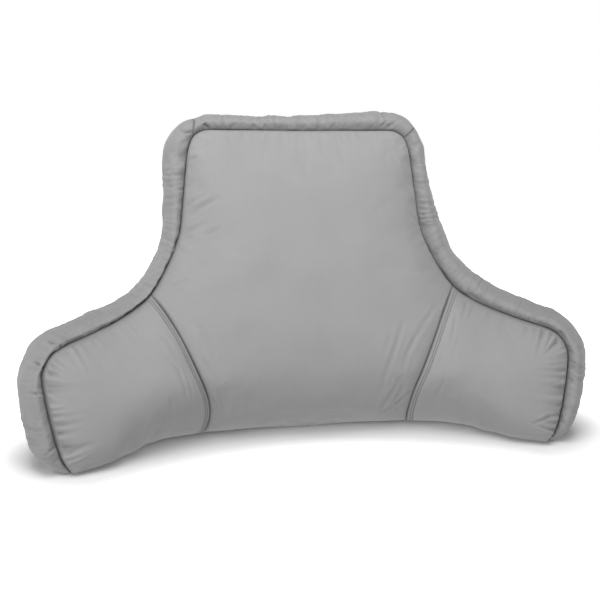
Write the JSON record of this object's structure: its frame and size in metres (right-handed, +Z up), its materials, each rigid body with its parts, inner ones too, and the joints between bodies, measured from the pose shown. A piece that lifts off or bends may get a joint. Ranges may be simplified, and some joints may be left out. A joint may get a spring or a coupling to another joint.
{
  "type": "orthopedic cushion",
  "caption": "Stuffed back-rest cushion in plain velour: a tall centre panel, short wings turned forward and a padded border strip; it stands on its flat base.",
  "frame": {"origin": "middle of the underside of the cushion's box", "axes": "+Z up, the front face and the wings towards -Y, +X to the right seen from the front"},
  "size_m": [0.9287, 0.3036, 0.545],
  "materials": {
    "front_velour": "matt grey velour",
    "border_velour": "matt grey velour",
    "plain_velour": "matt grey velour"
  },
  "bodies": {
    "root": {"back_rest": "front_velour", "wing_left": "front_velour", "wing_right": "front_velour", "band_left": "border_velour", "band_top": "border_velour", "band_right": "border_velour", "back_panel": "plain_velour", "base_panel": "plain_velour"}
  },
  "joints": []
}
